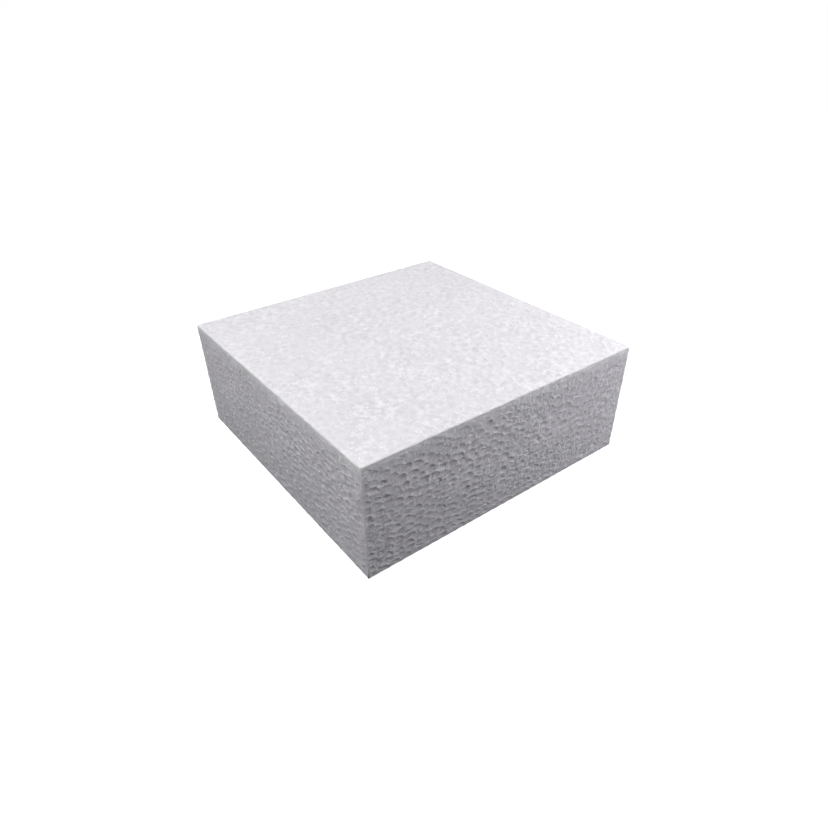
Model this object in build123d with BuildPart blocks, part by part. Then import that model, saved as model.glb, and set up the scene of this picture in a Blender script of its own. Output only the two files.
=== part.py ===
"""Square foam cake dummy: one block of expanded polystyrene, cut from a larger
sheet with a hot wire.

Frame: +Z up, millimetres. The origin is the centre of the underside, so the
block stands on Z = 0. Its sides are square to X and Y.
"""

import os

from build123d import *

# ---- driving dimensions (mm) -------------------------------------------------
side = 203.2          # plan size of the square tier, 8 in each way
height = 76.2         # tier height, 3 in
corner_radius = 1.0   # the four upright corners, where the wire turned
edge_radius = 0.8     # the slightly softened top and bottom edges

# ---- the block ---------------------------------------------------------------
# One solid with flat faces: both broad faces are flat so that tiers stack, and
# the upright faces are straight wire cuts.
with BuildPart() as foam_block:
    with BuildSketch(Plane.XY):
        Rectangle(side, side)
    extrude(amount=height)
    fillet(foam_block.edges().filter_by(Axis.Z), radius=corner_radius)
    rims = foam_block.faces().filter_by(Plane.XY).edges()
    fillet(rims, radius=edge_radius)

foam_block.part.label = "foam_block"

os.makedirs("parts", exist_ok=True)
export_step(foam_block.part, "parts/foam_block.step")

size = foam_block.part.bounding_box().size
print(f"foam_block {size.X:.2f} x {size.Y:.2f} x {size.Z:.2f} mm, "
      f"volume {foam_block.part.volume / 1000:.1f} cm3")
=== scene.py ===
import math

import bpy
import numpy as np
from mathutils import Matrix, Vector


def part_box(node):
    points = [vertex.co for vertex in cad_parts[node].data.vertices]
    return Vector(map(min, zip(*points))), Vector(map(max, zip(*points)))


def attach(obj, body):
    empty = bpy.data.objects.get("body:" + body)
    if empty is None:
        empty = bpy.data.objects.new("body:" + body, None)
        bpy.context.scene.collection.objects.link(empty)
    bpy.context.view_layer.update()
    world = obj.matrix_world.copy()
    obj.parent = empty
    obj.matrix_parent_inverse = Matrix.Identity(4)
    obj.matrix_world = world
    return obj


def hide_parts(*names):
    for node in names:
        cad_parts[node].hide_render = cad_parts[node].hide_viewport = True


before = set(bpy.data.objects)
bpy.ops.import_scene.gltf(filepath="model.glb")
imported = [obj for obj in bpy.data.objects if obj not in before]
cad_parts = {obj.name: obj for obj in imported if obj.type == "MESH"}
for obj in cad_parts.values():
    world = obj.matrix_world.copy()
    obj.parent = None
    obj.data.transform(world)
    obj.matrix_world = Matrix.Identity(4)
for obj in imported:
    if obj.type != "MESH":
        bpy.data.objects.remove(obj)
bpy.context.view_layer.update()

# ------------------------------------------------------------------------------
# The block. It is cut from bead foam, so each face is a packing of cut beads.
# Every cut bead is a dish with a thin raised wall where it was fused to its
# neighbours. The beads along the edges and at the corners are shared by the
# faces that meet there, so they run round the edges.
# Everything here is in millimetres, about the centre of the underside.
# ------------------------------------------------------------------------------
lo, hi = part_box("foam_block")
MID = Vector(((lo.x + hi.x) / 2, (lo.y + hi.y) / 2, lo.z))
HALF_X = (hi.x - lo.x) * 500
HALF_Y = (hi.y - lo.y) * 500
TALL = (hi.z - lo.z) * 1000

SQUASH = 1.48        # on the sides the beads are this much wider than tall
BEAD = 5.70          # bead diameter, and its spread
SPREAD = 0.18
WALL = 0.40          # width of one side of a bead wall
MERGE = 0.45         # corners of beads closer than this are one
DISH = 0.104         # dish depth over the square root of the bead's area
LEAN = 0.036         # on the sides, how fast a dish deepens upwards

rng = np.random.default_rng(4711)

FACES = {
    # name: outward normal, two tangents (right-handed with the normal), offset
    "front": ((0, -1, 0), (1, 0, 0), (0, 0, 1), HALF_Y),
    "right": ((1, 0, 0), (0, 1, 0), (0, 0, 1), HALF_X),
    "back": ((0, 1, 0), (-1, 0, 0), (0, 0, 1), HALF_Y),
    "left": ((-1, 0, 0), (0, -1, 0), (0, 0, 1), HALF_X),
    "top": ((0, 0, 1), (1, 0, 0), (0, 1, 0), TALL),
    "under": ((0, 0, -1), (1, 0, 0), (0, -1, 0), 0.0),
}


def spans(name):
    """The face's rectangle in its own tangents, with heights stretched by SQUASH."""
    if name in ("top", "under"):
        return -HALF_X, HALF_X, -HALF_Y, HALF_Y
    half = HALF_X if name in ("front", "back") else HALF_Y
    return -half, half, 0.0, TALL * SQUASH


def bead_size():
    return BEAD * (1 + min(0.45, max(-0.30, rng.normal(0, SPREAD))))


def shared_beads():
    """The beads at the corners and along the edges: position (height stretched), size, faces."""
    high = TALL * SQUASH
    names = {(0, -1): "left", (0, 1): "right", (1, -1): "front", (1, 1): "back", (2, -1): "under", (2, 1): "top"}
    low_end, high_end = (-HALF_X, -HALF_Y, 0.0), (HALF_X, HALF_Y, high)

    def spot(signs, inset):
        """A point the same distance inside each face named by signs; None where it is free."""
        return [None if s is None else (high_end[k] - inset if s > 0 else low_end[k] + inset) for k, s in enumerate(signs)]

    out, corner = [], {}
    for sx in (-1, 1):
        for sy in (-1, 1):
            for sz in (-1, 1):
                inset, size = rng.uniform(0.9, 1.9), bead_size()
                corner[sx, sy, sz] = (inset, size)
                out.append((spot((sx, sy, sz), inset), size, [names[0, sx], names[1, sy], names[2, sz]]))
    for axis in range(3):
        others = [k for k in range(3) if k != axis]
        for s1 in (-1, 1):
            for s2 in (-1, 1):
                signs = [None, None, None]
                signs[others[0]], signs[others[1]] = s1, s2
                ends = []
                for s in (-1, 1):
                    full = list(signs)
                    full[axis] = s
                    ends.append(corner[tuple(full)])
                start, stop = low_end[axis] + ends[0][0], high_end[axis] - ends[1][0]
                sizes, length = [], 0.0
                while True:
                    size = bead_size()
                    step = 0.58 * ((sizes[-1] if sizes else ends[0][1]) + size)
                    if length + step + 0.58 * (size + ends[1][1]) > stop - start:
                        break
                    sizes.append(size)
                    length += step
                row = [ends[0][1]] + sizes + [ends[1][1]]
                gaps = [row[k] + row[k + 1] for k in range(len(row) - 1)]
                at = start
                for k, size in enumerate(sizes):
                    at += gaps[k] * (stop - start) / sum(gaps)
                    p = spot(signs, rng.uniform(0.5, 2.1))
                    p[axis] = at
                    out.append((p, size, [names[others[0], s1], names[others[1], s2]]))
    return out


def bins_of(points, step):
    bins = {}
    for i, (u, v) in enumerate(points):
        bins.setdefault((int(u // step), int(v // step)), []).append(i)
    return bins


def scatter(name, fixed):
    """Beads dropped at random on a face until no more fit between the ones that are there."""
    u0, u1, v0, v1 = spans(name)
    points = [(u, v) for u, v, _ in fixed]
    sizes = [s for _, _, s in fixed]
    step = BEAD * 1.5
    bins = bins_of(points, step)
    clear = 3.3
    tries = int((u1 - u0) * (v1 - v0) / 28 * 60)
    us, vs = rng.uniform(u0 + clear, u1 - clear, tries), rng.uniform(v0 + clear, v1 - clear, tries)
    ds = BEAD * (1 + np.clip(rng.normal(0, SPREAD, tries), -0.30, 0.45))
    for u, v, d in zip(us.tolist(), vs.tolist(), ds.tolist()):
        bu, bv = int(u // step), int(v // step)
        for p in range(bu - 1, bu + 2):
            for q in range(bv - 1, bv + 2):
                if any(math.hypot(points[j][0] - u, points[j][1] - v) < 0.5 * (sizes[j] + d) for j in bins.get((p, q), ())):
                    break
            else:
                continue
            break
        else:
            bins.setdefault((bu, bv), []).append(len(points))
            points.append((u, v))
            sizes.append(d)
    return points, sizes


def clip(poly, ax, ay, b):
    """The part of a convex polygon where ax*x + ay*y <= b."""
    side = [ax * x + ay * y - b for x, y in poly]
    if max(side) <= 0:
        return poly
    out = []
    for i, (x, y) in enumerate(poly):
        s, (px, py), ps = side[i], poly[i - 1], side[i - 1]
        if (s <= 0) != (ps <= 0):
            t = ps / (ps - s)
            out.append((px + (x - px) * t, py + (y - py) * t))
        if s <= 0:
            out.append((x, y))
    return out


def outlines(name, points, sizes):
    """Each bead's part of the face: flat walls where two beads press together."""
    u0, u1, v0, v1 = spans(name)
    step = 8.0
    bins = bins_of(points, step)
    out = []
    for i, (x, y) in enumerate(points):
        bu, bv = int(x // step), int(y // step)
        wi = (sizes[i] / 2) ** 2
        cuts = []
        for p in (bu - 2, bu - 1, bu, bu + 1, bu + 2):
            for q in (bv - 2, bv - 1, bv, bv + 1, bv + 2):
                for j in bins.get((p, q), ()):
                    if j != i:
                        dx, dy = points[j][0] - x, points[j][1] - y
                        gap = math.hypot(dx, dy)
                        if gap < 16:
                            cuts.append(((gap * gap + wi - (sizes[j] / 2) ** 2) / (2 * gap), dx / gap, dy / gap))
        cuts.sort()
        poly = [(x - 12, y - 12), (x + 12, y - 12), (x + 12, y + 12), (x - 12, y + 12)]
        for c, nx, ny in cuts:
            if c > max(math.hypot(px - x, py - y) for px, py in poly):
                break
            poly = clip(poly, nx, ny, c + nx * x + ny * y)
        for ax, ay, lim in ((1, 0, u1), (-1, 0, -u0), (0, 1, v1), (0, -1, -v0)):
            poly = clip(poly, ax, ay, lim)
        out.append(poly)
    return out


def centre_of(pts):
    area = cx = cy = 0.0
    for k in range(len(pts)):
        (x0, y0), (x1, y1) = pts[k], pts[(k + 1) % len(pts)]
        c = x0 * y1 - x1 * y0
        area += c / 2
        cx += (x0 + x1) * c / 6
        cy += (y0 + y1) * c / 6
    if area < 1e-4:
        return sum(p[0] for p in pts) / len(pts), sum(p[1] for p in pts) / len(pts), max(area, 0.0)
    return cx / area, cy / area, area


class Foam:
    """Collects the block's vertices and faces."""

    def __init__(self):
        self.base = []      # undisplaced position, on the faces of the block
        self.sink = []      # depth below each face that it lies on
        self.planes = []    # inward normals of those faces
        self.wall = []      # 1 on a bead wall, painted whiter as highlight; 0 in a dish; below 0 painted darker as shade, in a gap or along an upright edge
        self.polys = []     # vertex indices
        self.poly_uv = []   # matching map coordinates
        self.poly_tone = []
        self.edges = {}

    def add(self, pos, planes, sink, wall):
        self.base.append(pos)
        self.planes.append(planes)
        self.sink.append(sink)
        self.wall.append(wall)
        return len(self.base) - 1


def planes_at(p):
    """Inward normals of the block's faces that the point lies on."""
    x, y, z = p
    out = []
    if x > HALF_X - 1e-4: out.append((-1, 0, 0))
    if x < -HALF_X + 1e-4: out.append((1, 0, 0))
    if y > HALF_Y - 1e-4: out.append((0, -1, 0))
    if y < -HALF_Y + 1e-4: out.append((0, 1, 0))
    if z > TALL - 1e-4: out.append((0, 0, -1))
    if z < 1e-4: out.append((0, 0, 1))
    return tuple(out)


def clearance(p, plane):
    """How far a point is inside the face with this inward normal."""
    return (HALF_X, HALF_Y, 0.0 if plane[2] > 0 else TALL)[[abs(c) for c in plane].index(1)] + sum(p[k] * plane[k] for k in range(3))


def smooth(a, b, x):
    t = min(1.0, max(0.0, (x - a) / (b - a)))
    return t * t * (3 - 2 * t)


def relief(x, z, name):
    """How strongly the beads stand out: less in the band that the wire melted smooth under the top edge."""
    if name in ("top", "under"):
        return 0.60
    # the wire ran slower, and the cut is smoother, away from the front corner
    if name == "front":
        along = 0.75 - 0.34 * smooth(60, 180, x + HALF_X)
    elif name == "left":
        along = 0.72 - 0.22 * smooth(40, 160, HALF_Y - x)
    else:
        along = 0.80
    return along * (1.0 - 0.50 * smooth(TALL - 13, TALL - 4, z))


def pack():
    """The outline of every bead on every face, in space, and the number of the bead."""
    common = shared_beads()
    cells, count = [], len(common)
    for name, (n, t1, t2, off) in FACES.items():
        mine = [k for k, (_, _, on) in enumerate(common) if name in on]
        fixed = [(sum(common[k][0][c] * t1[c] for c in range(3)), sum(common[k][0][c] * t2[c] for c in range(3)), common[k][1]) for k in mine]
        points, sizes = scatter(name, fixed)
        u0, u1, v0, v1 = spans(name)
        # settle: each bead moves towards the middle of its own outline
        for k, poly in enumerate(outlines(name, points, sizes)):
            if k >= len(fixed) and len(poly) > 2:
                cx, cy, _ = centre_of(poly)
                x, y = points[k]
                points[k] = (min(max(x + 0.6 * (cx - x), u0 + 3.2), u1 - 3.2), min(max(y + 0.6 * (cy - y), v0 + 3.2), v1 - 3.2))
        for k, poly in enumerate(outlines(name, points, sizes)):
            if len(poly) < 3:
                continue
            world = []
            for u, v in poly:
                p = [n[c] * off + t1[c] * u + t2[c] * v for c in range(3)]
                if not n[2]:
                    p[2] /= SQUASH
                world.append((round(p[0], 5), round(p[1], 5), round(p[2], 5)))
            cells.append((name, mine[k] if k < len(fixed) else count + k, world))
        count += len(points)
    return cells, count


def build():
    cells, count = pack()
    tone = np.random.default_rng(97).random(count)
    tilt = np.random.default_rng(98).normal(0, 1, (count, 3))
    luck = np.random.default_rng(99).random(count)
    foam = Foam()
    # one vertex where outlines meet, corners and edges of the block first
    spots = {}
    for _, _, world in cells:
        for p in world:
            if p not in spots:
                spots[p] = planes_at(p)
    reps, table = {}, {}
    pos, kinds = [], []
    for key in sorted(spots, key=lambda k: (-len(spots[k]), k)):
        bx, by, bz = (int(math.floor(c / MERGE)) for c in key)
        best, gap = None, MERGE
        for i in (bx - 1, bx, bx + 1):
            for j in (by - 1, by, by + 1):
                for k in (bz - 1, bz, bz + 1):
                    for r in reps.get((i, j, k), ()):
                        g = math.dist(pos[r], key)
                        if g < gap and all(pl in kinds[r] for pl in spots[key]):
                            best, gap = r, g
        if best is None:
            best = len(pos)
            pos.append(key)
            kinds.append(spots[key])
            reps.setdefault((bx, by, bz), []).append(best)
        table[key] = best
    dice = np.random.default_rng(5)
    grit = np.random.default_rng(6)
    for p, kind in zip(pos, kinds):
        if len(kind) == 1:
            pit = dice.random()
            side = kind[0][2] == 0
            # a few junctions sink into gaps, and wall -1 paints them darker as shade; the others are painted whiter as
            # highlight, fully on the sides and at 0.4 on the top
            if pit < 0.04:
                sink, wall = dice.uniform(0.25, 0.50), -1.0
            else:
                sink, wall = (0.0 if pit < 0.45 else dice.uniform(0.0, 0.10)), (1.0 if side else 0.4)
        else:
            upright = all(pl[2] == 0 for pl in kind)
            # the upright edges get wall -0.25, painted shade that darkens them; the other edges get 0.1, a slight
            # painted highlight
            sink, wall = (dice.uniform(0.02, 0.10), -0.25) if upright else (dice.uniform(0.12, 0.20), 0.1)
        foam.add(p, kind, sink, wall)
    # all the vertices along each edge of the block
    along = {}
    for r, kind in enumerate(kinds):
        for a in range(len(kind)):
            for b in range(a + 1, len(kind)):
                along.setdefault(frozenset((kind[a], kind[b])), []).append(r)

    def between(i, j, normal, fine):
        """The points along a bead wall from i to j, shared by the beads on both sides."""
        key = (min(i, j), max(i, j))
        if key not in foam.edges:
            a, b = foam.base[key[0]], foam.base[key[1]]
            length = math.dist(a, b)
            shared = tuple(pl for pl in foam.planes[key[0]] if pl in foam.planes[key[1]])
            n_top = bool(normal[2])
            rim = len(shared) > 1
            if rim:
                count = max(0, round(length / 2.6) - 1)
            elif not fine:
                count = 0
            else:
                count = 0 if length < 1.3 else 1 if length < 3.4 or (n_top and length < 5.0) else 2 if length < 5.4 else 3
            made = []
            bend = dice.normal(0, 0.06) * length
            drop = dice.uniform(0.02, 0.10)
            if not n_top and not rim:
                drop += 0.20 * ((b[2] - a[2]) / length) ** 2    # upright walls are lower than level ones
            corner = all(pl[2] == 0 for pl in shared)
            notch = dice.uniform(0.10, 0.24) if corner else dice.uniform(0.03, 0.10)
            for s in range(1, count + 1):
                t = s / (count + 1)
                p = [a[k] + (b[k] - a[k]) * t for k in range(3)]
                if rim:
                    # on the upright edges wall -0.25 is painted shade; on the other edges 0.1 is a slight painted
                    # highlight
                    made.append(foam.add(tuple(p), shared, (0.10 if corner else 0.18) + notch * math.sin(math.pi * t), -0.25 if corner else 0.1))
                else:
                    d = [(b[k] - a[k]) / length for k in range(3)]
                    n = normal
                    q = (n[1] * d[2] - n[2] * d[1], n[2] * d[0] - n[0] * d[2], n[0] * d[1] - n[1] * d[0])
                    push = (bend + (0.13 * length * q[2] if not n[2] else 0.0)) * 4 * t * (1 - t)
                    p = [p[k] + q[k] * push for k in range(3)]
                    for k, (least, most) in enumerate(((-HALF_X, HALF_X), (-HALF_Y, HALF_Y), (0.0, TALL))):
                        if abs(n[k]) < 0.5:
                            p[k] = min(max(p[k], least + 0.2), most - 0.2)
                    # painted highlight on the wall: full on the sides, 0.4 on the top
                    made.append(foam.add(tuple(p), shared, drop, 0.4 if n[2] else 1.0))
            foam.edges[key] = made
        made = foam.edges[key]
        return made if i < j else made[::-1]

    gap = 4.0
    scale = 1.0 / (4 * HALF_X + 3 * gap)
    place = {
        "top": (gap, gap), "under": (2 * gap + 2 * HALF_X, gap),
        "front": (gap, 2 * gap + 2 * HALF_Y), "right": (2 * gap + 2 * HALF_X, 2 * gap + 2 * HALF_Y),
        "back": (gap, 3 * gap + 2 * HALF_Y + TALL), "left": (2 * gap + 2 * HALF_X, 3 * gap + 2 * HALF_Y + TALL),
    }
    for name, bead, world in cells:
        n, t1, t2, off = FACES[name]
        loop = []
        for p in world:
            r = table[p]
            if not loop or loop[-1] != r:
                loop.append(r)
        while len(loop) > 1 and loop[0] == loop[-1]:
            loop.pop()
        if len(set(loop)) < 3 or len(set(loop)) != len(loop):
            continue
        # take in the vertices of the next face's beads along an edge of the block
        full = []
        for k, i in enumerate(loop):
            j = loop[(k + 1) % len(loop)]
            full.append(i)
            both = [pl for pl in kinds[i] if pl in kinds[j]]
            if len(both) > 1:
                a, b = pos[i], pos[j]
                length = math.dist(a, b)
                inside = []
                for r in along.get(frozenset(both[:2]), ()):
                    if r not in (i, j):
                        t = sum((pos[r][c] - a[c]) * (b[c] - a[c]) for c in range(3)) / length ** 2
                        if 0 < t < 1:
                            inside.append((t, r))
                full.extend(r for _, r in sorted(inside))
        loop = full
        fine = name != "under"
        side = name not in ("top", "under")
        inward = tuple(-c for c in n)
        half = HALF_X if name in ("front", "back", "top", "under") else HALF_Y
        low = (-half, 0.0) if side else (-HALF_X, -HALF_Y)
        corner = place[name]

        def flat(p):
            return (p[0] * t1[0] + p[1] * t1[1] + p[2] * t1[2], p[0] * t2[0] + p[1] * t2[1] + p[2] * t2[2])

        def uv(q):
            return ((corner[0] + q[0] - low[0]) * scale, (corner[1] + q[1] - low[1]) * scale)

        ring = []
        for k in range(len(loop)):
            a, b = loop[k], loop[(k + 1) % len(loop)]
            ring.append(a)
            ring.extend(between(a, b, inward, fine))
        pts = [flat(foam.base[i]) for i in ring]
        cx, cy, area = centre_of(pts)
        size = math.sqrt(max(area, 0.01))
        force = relief(cx, cy, name)
        deep = DISH * size * force * (1 + 0.25 * tilt[bead][2])
        deep = min(1.25, max(0.08, deep))
        lean_u, lean_v = tilt[bead][0] * 0.040 * force, tilt[bead][1] * 0.040 * force
        if side:
            lean_v += LEAN * force    # the cut leaves each dish deeper at its upper end
        # a few beads stand proud instead of being cut to a dish
        proud = side and size > 2.0 and (luck[bead] < 0.022 or (name == "front" and math.hypot(cx + HALF_X - 2.5, cy - TALL + 4.0) < 2.4))

        def put(q, depth, wall):
            p = tuple(n[k] * off + t1[k] * q[0] + t2[k] * q[1] for k in range(3))
            return foam.add(p, (inward,), max(0.02, depth), wall)

        def slant(q):
            return lean_u * (q[0] - cx) + lean_v * (q[1] - cy)

        def emit(ids, qs):
            foam.polys.append(ids)
            foam.poly_uv.append([uv(q) for q in qs])
            foam.poly_tone.append(tone[bead] if side else 0.5 + 0.3 * (tone[bead] - 0.5))

        m = len(ring)
        rough = grit.normal(0, 0.017 * force, 64).tolist()
        middle = (cx, cy + (0.08 * size if side else 0.0))
        # a proud bead gets wall 0.9 in the middle and 0.8 further out: painted whiter, a highlight on the raised bead
        if proud:
            centre = put(middle, 0.04, 0.9)
        else:
            centre = put(middle, deep, 0.0)
        if not fine or size < 1.3:
            for k in range(m):
                l = (k + 1) % m
                emit((ring[k], ring[l], centre), (pts[k], pts[l], middle))
            continue
        # first ring: the foot of the wall
        foot, foot_q = [], []
        for k in range(m):
            x, y = pts[k]
            r = math.hypot(x - cx, y - cy)
            crest = foam.sink[ring[k]]
            rim = len(foam.planes[ring[k]]) > 1
            high = min(1.0, max(-1.0, (y - cy) / (0.5 * size))) if side else 0.0
            beside = ((x - cx) / max(r, 1e-6)) ** 2 if side else 0.0
            if rim:
                room = min(clearance(foam.base[centre], pl) for pl in foam.planes[ring[k]] if pl != inward)
                t = min((0.80 + 0.6 * crest) / max(room, 1e-6), 0.55)
            else:
                t = min(WALL / max(r, 1e-6), 0.33)
            q = (x + (cx - x) * t, y + (cy - y) * t)
            if rim:
                if all(pl[2] == 0 for pl in foam.planes[ring[k]]):
                    d = crest + 0.09 * force
                else:
                    d = 0.04 + 0.8 * max(0.0, crest - 0.18) * force
            elif foam.wall[ring[k]] < 0:
                d = max(0.20, crest - 0.10)
            else:
                d = crest + (0.205 + 0.015 * high) * (1 - 0.50 * beside) * force + 0.5 * slant(q) + rough[k % 64]
            if proud:
                foot.append(put(q, crest + 0.42, 0.0))
            else:
                # wall at the foot is painted highlight, whiter at the lower side of a side dish, where the slope faces
                # up to the light
                foot.append(put(q, min(d, 0.92 * deep + 0.10), 0.38 - 0.26 * high if side and not rim else 0.22))
            foot_q.append(q)
        for k in range(m):
            l = (k + 1) % m
            emit((ring[k], ring[l], foot[l], foot[k]), (pts[k], pts[l], foot_q[l], foot_q[k]))
        if size < 2.4 or name == "top":
            for k in range(m):
                l = (k + 1) % m
                emit((foot[k], foot[l], centre), (foot_q[k], foot_q[l], middle))
            continue
        # second ring, half way in, with half as many points
        pick = list(range(0, m, 2))
        ring2, ring2_q = [], []
        for k in pick:
            x, y = foot_q[k]
            q = (x + (middle[0] - x) * 0.44, y + (middle[1] - y) * 0.44)
            high = min(1.0, max(-1.0, (q[1] - cy) / (0.5 * size)))
            if proud:
                ring2.append(put(q, 0.10, 0.8))
            else:
                ring2.append(put(q, deep * (0.76 + 0.20 * high) + slant(q) + 1.6 * rough[(k + 7) % 64], 0.0))
            ring2_q.append(q)
        c = len(pick)
        for s in range(c):
            k, e = pick[s], pick[(s + 1) % c]
            t = (s + 1) % c
            if e == (k + 1) % m:
                emit((foot[k], foot[e], ring2[t], ring2[s]), (foot_q[k], foot_q[e], ring2_q[t], ring2_q[s]))
            else:
                o = (k + 1) % m
                emit((foot[k], foot[o], ring2[s]), (foot_q[k], foot_q[o], ring2_q[s]))
                emit((foot[o], foot[e], ring2[t], ring2[s]), (foot_q[o], foot_q[e], ring2_q[t], ring2_q[s]))
            emit((ring2[s], ring2[t], centre), (ring2_q[s], ring2_q[t], middle))
    return foam


def mesh_from(foam):
    out = np.array(foam.base, float)
    for i, (planes, sink) in enumerate(zip(foam.planes, foam.sink)):
        for pl in planes:
            out[i, 0] += pl[0] * sink
            out[i, 1] += pl[1] * sink
            out[i, 2] += pl[2] * sink
    # only what the faces use
    used = np.zeros(len(out), bool)
    for poly in foam.polys:
        for i in poly:
            used[i] = True
    index = np.cumsum(used) - 1
    out = out[used] / 1000.0
    out += np.array(MID)
    wall = np.array(foam.wall)[used]
    band = np.array([0.0 if (0, 0, -1) in planes else smooth(TALL - 15, TALL - 1, p[2]) for p, planes in zip(foam.base, foam.planes)])[used]
    polys = [tuple(int(index[i]) for i in poly) for poly in foam.polys]
    mesh = bpy.data.meshes.new("bead_foam_block")
    mesh.from_pydata(out.tolist(), [], polys)
    mesh.update()
    a = mesh.attributes.new("wall", "FLOAT", "POINT")
    a.data.foreach_set("value", np.clip(wall, 0, 1))
    a = mesh.attributes.new("pit", "FLOAT", "POINT")
    a.data.foreach_set("value", np.clip(-wall, 0, 1))
    a = mesh.attributes.new("band", "FLOAT", "POINT")
    a.data.foreach_set("value", band)
    a = mesh.attributes.new("tone", "FLOAT", "FACE")
    a.data.foreach_set("value", np.array(foam.poly_tone, float))
    layer = mesh.uv_layers.new(name="OFBake")
    layer.data.foreach_set("uv", np.array([c for poly in foam.poly_uv for q in poly for c in q], float))
    mesh.polygons.foreach_set("use_smooth", [True] * len(mesh.polygons))
    # the four upright edges are cut sharp, the others are a little rounded
    rim = np.array([sum(pl[2] == 0 for pl in planes) > 1 for planes in foam.planes])[used]
    ends = np.zeros(len(mesh.edges) * 2, int)
    mesh.edges.foreach_get("vertices", ends)
    ends = ends.reshape(-1, 2)
    mesh.edges.foreach_set("use_edge_sharp", (rim[ends[:, 0]] & rim[ends[:, 1]]).tolist())
    mesh.update()
    return mesh


mesh = mesh_from(build())
block = bpy.data.objects.new("bead_foam_block", mesh)
bpy.context.scene.collection.objects.link(block)
triangles = sum(len(p.vertices) - 2 for p in mesh.polygons)
print("foam block:", len(mesh.vertices), "vertices,", triangles, "triangles")


# ------------------------------------------------------------------------------
# Material
# ------------------------------------------------------------------------------
class Tree:
    def __init__(self, mat):
        self.t = mat.node_tree
        self.t.nodes.clear()

    def node(self, kind, **props):
        n = self.t.nodes.new(kind)
        for k, v in props.items():
            setattr(n, k, v)
        return n

    def link(self, a, b):
        self.t.links.new(a, b)

    def math(self, op, a, b=None, c=None, clamp=False):
        n = self.node("ShaderNodeMath", operation=op, use_clamp=clamp)
        for k, v in enumerate((a, b, c)):
            if v is None:
                continue
            if isinstance(v, (int, float)):
                n.inputs[k].default_value = v
            else:
                self.link(v, n.inputs[k])
        return n.outputs[0]

    def ramp(self, value, a, b, lo=0.0, hi=1.0):
        n = self.node("ShaderNodeMapRange", interpolation_type="SMOOTHSTEP")
        self.link(value, n.inputs["Value"])
        for key, v in (("From Min", a), ("From Max", b), ("To Min", lo), ("To Max", hi)):
            n.inputs[key].default_value = v
        return n.outputs["Result"]

    def mix(self, factor, a, b):
        n = self.node("ShaderNodeMix", data_type="RGBA")
        for sock, v in ((n.inputs[0], factor), (n.inputs[6], a), (n.inputs[7], b)):
            if isinstance(v, (int, float)):
                sock.default_value = v
            elif isinstance(v, tuple):
                sock.default_value = (*v, 1.0)
            else:
                self.link(v, sock)
        return n.outputs[2]


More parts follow.
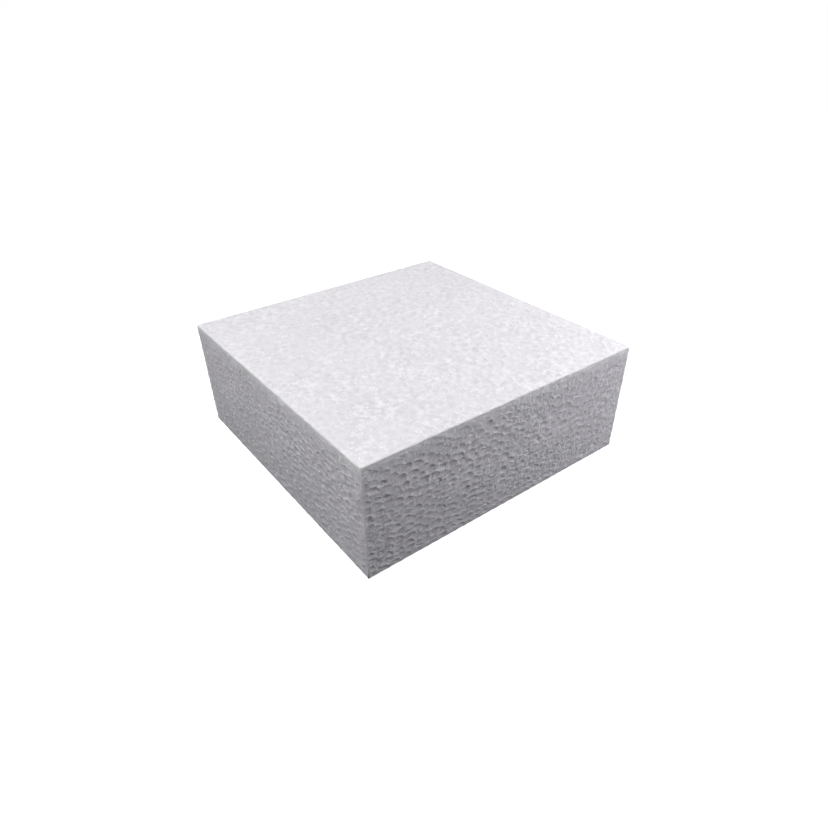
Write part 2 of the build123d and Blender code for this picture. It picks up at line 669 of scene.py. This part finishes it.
def foam_material():
    mat = bpy.data.materials.new("bead_foam")
    mat.use_nodes = True
    t = Tree(mat)
    out = t.node("ShaderNodeOutputMaterial")
    shader = t.node("ShaderNodeBsdfPrincipled")
    t.link(shader.outputs[0], out.inputs[0])
    coords = t.node("ShaderNodeTexCoord").outputs["Object"]
    wall = t.node("ShaderNodeAttribute", attribute_name="wall").outputs["Fac"]
    pit = t.node("ShaderNodeAttribute", attribute_name="pit").outputs["Fac"]
    tone = t.node("ShaderNodeAttribute", attribute_name="tone").outputs["Fac"]
    band = t.node("ShaderNodeAttribute", attribute_name="band").outputs["Fac"]

    def noise(scale, detail, rough=0.5, where=coords):
        n = t.node("ShaderNodeTexNoise")
        n.inputs["Scale"].default_value = scale
        n.inputs["Detail"].default_value = detail
        n.inputs["Roughness"].default_value = rough
        t.link(where, n.inputs["Vector"])
        return n.outputs["Fac"]

    # colour: white, each bead a little different; walls painted whiter as highlight where they catch the light, gaps
    # and upright edges painted darker as shade
    cloud = noise(16.0, 3.0)
    fine = noise(620.0, 3.0, 0.6)
    shade = t.math("MULTIPLY_ADD", tone, 0.5, t.math("MULTIPLY_ADD", cloud, 0.35, t.math("MULTIPLY", fine, 0.45)))
    white = t.mix(t.ramp(shade, 0.2, 1.1), (0.690, 0.678, 0.700), (0.795, 0.782, 0.805))
    broken = t.ramp(fine, 0.36, 0.60, 0.62, 1.0)
    white = t.mix(t.math("MULTIPLY", wall, broken), white, (0.945, 0.935, 0.955))
    white = t.mix(t.math("MULTIPLY", pit, 0.6), white, (0.50, 0.50, 0.52))

    # soft mottling a few millimetres across
    mottle = noise(240.0, 3.0, 0.55)
    area = t.ramp(noise(26.0, 2.0), 0.36, 0.62, 0.55, 1.45)
    white = t.mix(t.math("MULTIPLY", area, t.ramp(mottle, 0.50, 0.30, 0.0, 0.30)), white, (0.60, 0.59, 0.61))
    white = t.mix(t.math("MULTIPLY", area, t.ramp(mottle, 0.50, 0.68, 0.0, 0.42)), white, (0.945, 0.935, 0.95))

    # crumbs of torn film, whiter than the bead under them
    crumb = t.ramp(noise(430.0, 3.0, 0.6), 0.56, 0.70)
    white = t.mix(t.math("MULTIPLY", crumb, 0.55), white, (0.955, 0.945, 0.96))

    # the band that the wire melted smooth under the top edge: paler, painted light standing in for the light that the
    # lit top sends through the foam, with a few drawn-out threads
    white = t.mix(t.math("MULTIPLY", band, t.ramp(cloud, 0.3, 0.7, 0.25, 0.65)), white, (0.93, 0.925, 0.93))
    tall = t.node("ShaderNodeSeparateXYZ")
    t.link(coords, tall.inputs[0])
    tall = tall.outputs[2]
    # painted light: a still paler lip in the top few millimetres of the sides
    upright = t.ramp(band, 0.0, 0.05)
    painted_edge_light = t.math("MULTIPLY", t.ramp(tall, MID.z + (TALL - 6.5) / 1000, MID.z + (TALL - 0.8) / 1000, 0.0, 0.75), upright)
    white = t.mix(painted_edge_light, white, (0.96, 0.955, 0.96))
    # painted shade: darker towards the bottom, fading out over the lowest 55 mm
    white = t.mix(t.ramp(tall, MID.z + 0.055, MID.z, 0.0, 0.16), white, (0.45, 0.44, 0.46))
    stretch = t.node("ShaderNodeMapping")
    stretch.inputs["Scale"].default_value = (1.0, 1.0, 0.2)
    t.link(coords, stretch.inputs["Vector"])
    thread = t.ramp(noise(480.0, 1.0, 0.5, stretch.outputs["Vector"]), 0.63, 0.68)
    thread = t.math("MULTIPLY", thread, t.ramp(band, 0.10, 0.55))
    white = t.mix(t.math("MULTIPLY", thread, 0.8), white, (0.97, 0.97, 0.97))

    # glints: single melted facets, smoother than the rest
    facet = t.node("ShaderNodeTexVoronoi", feature="F1", distance="EUCLIDEAN")
    facet.inputs["Scale"].default_value = 700.0
    t.link(coords, facet.inputs["Vector"])
    pick = t.node("ShaderNodeSeparateColor")
    t.link(facet.outputs["Color"], pick.inputs[0])
    patch = noise(48.0, 2.0)
    chance = t.math("ADD", pick.outputs[0], t.math("MULTIPLY", t.math("SUBTRACT", patch, 0.5), 0.50))
    glint = t.ramp(chance, 0.945, 0.985)
    # painted glint: the base colour of the glint facets is whitened, beyond their lower roughness
    white = t.mix(t.math("MULTIPLY", glint, 0.90), white, (0.99, 0.985, 0.99))
    t.link(white, shader.inputs["Base Color"])
    t.link(t.ramp(glint, 0.0, 1.0, 0.50, 0.18), shader.inputs["Roughness"])

    # fine closed cells inside each bead, and the drag of the wire over them
    cells = t.node("ShaderNodeTexVoronoi", feature="F1", distance="EUCLIDEAN")
    cells.inputs["Scale"].default_value = 2200.0
    t.link(coords, cells.inputs["Vector"])
    height = t.math("MULTIPLY_ADD", cells.outputs["Distance"], 0.22, noise(850.0, 4.0, 0.65))
    height = t.math("MULTIPLY_ADD", t.math("MULTIPLY", mottle, area), 2.2, t.math("MULTIPLY_ADD", crumb, 0.30, height))
    bump = t.node("ShaderNodeBump")
    bump.inputs["Strength"].default_value = 1.0
    bump.inputs["Distance"].default_value = 0.00030
    t.link(height, bump.inputs["Height"])
    t.link(bump.outputs[0], shader.inputs["Normal"])

    shader.inputs["IOR"].default_value = 1.5
    shader.inputs["Specular IOR Level"].default_value = 0.4
    shader.subsurface_method = "RANDOM_WALK"
    shader.inputs["Subsurface Weight"].default_value = 0.30
    shader.inputs["Subsurface Radius"].default_value = (1.0, 1.0, 1.0)
    shader.inputs["Subsurface Scale"].default_value = 0.004
    return mat


mesh.materials.append(foam_material())
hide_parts("foam_block")
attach(block, "root")


# ------------------------------------------------------------------------------
# Camera: at the near corner, looking down at the block
# ------------------------------------------------------------------------------
def aim(obj, right, up, forward):
    obj.matrix_world = Matrix((
        (right[0], up[0], -forward[0], obj.location.x),
        (right[1], up[1], -forward[1], obj.location.y),
        (right[2], up[2], -forward[2], obj.location.z),
        (0, 0, 0, 1),
    ))


cam_data = bpy.data.cameras.new("camera")
cam_data.sensor_fit = "HORIZONTAL"
cam_data.sensor_width = 36.0
cam_data.lens = 27.0012
cam_data.shift_y = 0.04
cam_data.clip_start, cam_data.clip_end = 0.01, 20
cam = bpy.data.objects.new("camera", cam_data)
cam.location = (-0.21932, -0.30188, 0.25564)
bpy.context.scene.collection.objects.link(cam)
aim(cam, (0.79573, -0.60554, -0.01161), (0.36288, 0.46134, 0.80962), (0.4849, 0.64845, -0.58684))
bpy.context.scene.camera = cam

# ------------------------------------------------------------------------------
# Floor and light
# ------------------------------------------------------------------------------
profile = [(0.0, 0.0)] + [(0.2 * k, 0.0) for k in range(1, 9)]
profile += [(1.6 + 1.6 * math.sin(t), 1.6 - 1.6 * math.cos(t)) for t in (math.pi / 2 * k / 16 for k in range(1, 17))]
profile += [(3.2, 2.4), (3.2, 4.0)]
TURN = 96
verts = [(0.0, 0.0, lo.z)]
for r, z in profile[1:]:
    verts += [(r * math.cos(2 * math.pi * k / TURN), r * math.sin(2 * math.pi * k / TURN), lo.z + z) for k in range(TURN)]
faces = [(0, 1 + k, 1 + (k + 1) % TURN) for k in range(TURN)]
for row in range(len(profile) - 2):
    a = 1 + row * TURN
    faces += [(a + k, a + TURN + k, a + TURN + (k + 1) % TURN, a + (k + 1) % TURN) for k in range(TURN)]
floor_mesh = bpy.data.meshes.new("floor")
floor_mesh.from_pydata(verts, [], faces)
floor_mesh.polygons.foreach_set("use_smooth", [True] * len(floor_mesh.polygons))
floor = bpy.data.objects.new("floor", floor_mesh)
bpy.context.scene.collection.objects.link(floor)
floor_mat = bpy.data.materials.new("floor")
floor_mat.use_nodes = True
p = floor_mat.node_tree.nodes["Principled BSDF"]
p.inputs["Base Color"].default_value = (0.36, 0.36, 0.36, 1)
p.inputs["Roughness"].default_value = 0.9
p.inputs["Specular IOR Level"].default_value = 0.1
p.inputs["Emission Color"].default_value = (1, 1, 1, 1)
p.inputs["Emission Strength"].default_value = 0.96
floor_mesh.materials.append(floor_mat)
floor.visible_diffuse = False   # the block takes no light from below
floor.visible_glossy = False
floor.visible_shadow = False


def softbox(name, where, target, wide, high, power, tint=(1, 1, 1)):
    data = bpy.data.lights.new(name, "AREA")
    data.shape = "RECTANGLE"
    data.size, data.size_y = wide, high
    data.energy = power
    data.color = tint
    obj = bpy.data.objects.new(name, data)
    obj.location = where
    direction = Vector(target) - Vector(where)
    obj.rotation_mode = "QUATERNION"
    obj.rotation_quaternion = direction.to_track_quat("-Z", "Y")
    obj.visible_camera = False
    bpy.context.scene.collection.objects.link(obj)
    return obj


softbox("overhead", (0.12, -0.10, 1.2), (0.02, -0.02, 0), 1.2, 1.2, 4.35, (1.0, 1.02, 0.94))
softbox("high_left", (-0.60, 0.40, 0.80), (-0.10, 0.05, 0.03), 0.9, 0.7, 4.47, (1.0, 0.985, 1.025))
softbox("left", (-0.75, 0.10, 0.80), (-0.10, 0.02, 0.03), 0.9, 0.9, 4.65, (1.0, 0.985, 1.025))
softbox("right", (0.55, -0.22, 0.31), (0.10, -0.10, 0.04), 0.34, 0.34, 1.50, (1.0, 0.985, 1.045))
softbox("side_right", (0.45, -0.40, 0.30), (0.10, -0.10, 0.04), 0.35, 0.30, 2.10, (1.0, 0.985, 1.045))

softbox("rear_fill", (0.10, 0.75, 0.07), (0.0, 0.10, 0.04), 0.60, 0.12, 1.3)

world = bpy.data.worlds.new("studio")
bpy.context.scene.world = world
world.use_nodes = True
w = world.node_tree
w.nodes.clear()
w_out = w.nodes.new("ShaderNodeOutputWorld")
w_bg = w.nodes.new("ShaderNodeBackground")
w.links.new(w_bg.outputs[0], w_out.inputs[0])
w_geo = w.nodes.new("ShaderNodeTexCoord")
w_sep = w.nodes.new("ShaderNodeSeparateXYZ")
w.links.new(w_geo.outputs["Generated"], w_sep.inputs[0])
w_map = w.nodes.new("ShaderNodeMapRange")
w_map.interpolation_type = "SMOOTHSTEP"
w.links.new(w_sep.outputs["Z"], w_map.inputs["Value"])
for key, v in (("From Min", -0.12), ("From Max", 0.25), ("To Min", 0.010), ("To Max", 0.055)):
    w_map.inputs[key].default_value = v
w.links.new(w_map.outputs["Result"], w_bg.inputs["Strength"])
w_bg.inputs["Color"].default_value = (0.985, 0.985, 1.03, 1)

view = bpy.context.scene.view_settings
view.view_transform = "Standard"
view.look = "None"
view.exposure = 0.0
view.gamma = 1.0
